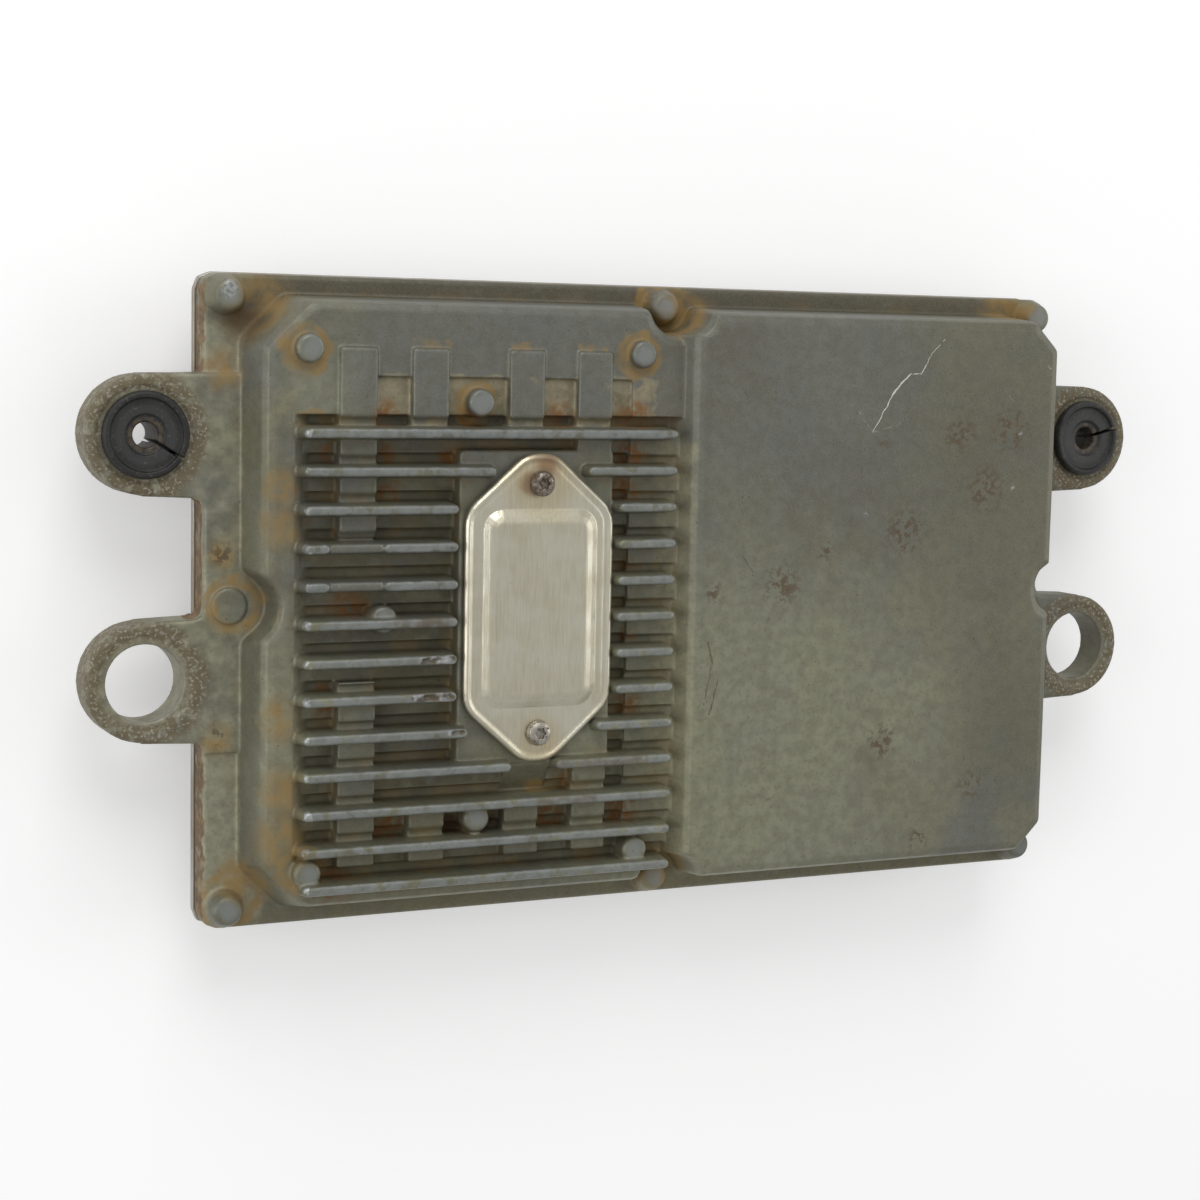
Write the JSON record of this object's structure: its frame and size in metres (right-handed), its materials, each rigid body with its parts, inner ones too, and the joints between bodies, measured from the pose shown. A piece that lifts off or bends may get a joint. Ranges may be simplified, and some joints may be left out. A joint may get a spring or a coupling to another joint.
{
  "type": "fuel injection control module",
  "caption": "Die-cast aluminium control housing with cooling fins, a stamped access cover, fastening ears with rubber bushes, and harness sockets behind.",
  "frame": {"origin": "under the middle of the part's box, on the rear cover's flat face", "axes": "+X along the long side towards the deep half, +Y along the short side towards the ears with bushes, +Z out of the finned front"},
  "size_m": [0.336, 0.1806, 0.0448],
  "materials": {
    "casting": "aged bare die casting, satin, with light corrosion and rust stains",
    "tinplate": "stamped and plated sheet, warm grey, satin",
    "cover_sheet": "drawn sheet, dull, stained at the rim",
    "rubber": "black, slightly shiny, dusty",
    "gasket": "dark, matte",
    "steel": "plated, dull and slightly rusty",
    "moulding": "black glass-filled moulding",
    "pins": "black moulded plate with tinned contacts",
    "board": "green solder mask",
    "aluminium_can": "smooth drawn can",
    "ferrite": "dark grey sintered core",
    "package": "black moulded package",
    "heat_pad": "soft grey-blue sheet"
  },
  "bodies": {
    "root": {"upper_housing": "casting", "port_cover": "tinplate", "rear_cover": "cover_sheet", "grommet_left": "rubber", "grommet_right": "rubber", "housing_gasket": "gasket", "port_cover_gasket": "gasket", "socket_seal_a": "gasket", "socket_seal_b": "gasket", "socket_seal_c": "gasket", "cover_screw_1": "steel", "cover_screw_2": "steel", "cover_screw_3": "steel", "cover_screw_4": "steel", "cover_screw_5": "steel", "cover_screw_6": "steel", "cover_screw_7": "steel", "cover_screw_8": "steel", "port_screw_1": "steel", "port_screw_2": "steel", "power_board_screw_1": "steel", "power_board_screw_2": "steel", "power_board_screw_3": "steel", "power_board_screw_4": "steel", "power_board_screw_5": "steel", "power_board_screw_6": "steel", "power_board_screw_7": "steel", "logic_board_screw_1": "steel", "logic_board_screw_2": "steel", "logic_board_screw_3": "steel", "logic_board_screw_4": "steel", "socket_shroud_a": "moulding", "socket_shroud_b": "moulding", "socket_shroud_c": "moulding", "board_header": "moulding", "service_header": "moulding", "pin_block_a": "pins", "pin_block_b": "pins", "pin_block_c": "pins", "power_board": "board", "logic_board": "board", "capacitor_1": "aluminium_can", "capacitor_2": "aluminium_can", "capacitor_3": "aluminium_can", "capacitor_4": "aluminium_can", "boost_inductor_1": "ferrite", "boost_inductor_2": "ferrite", "transistor_row_1": "package", "transistor_row_2": "package", "processor": "package", "memory_chip": "package", "heat_pad_1": "heat_pad", "heat_pad_2": "heat_pad"}
  },
  "joints": []
}
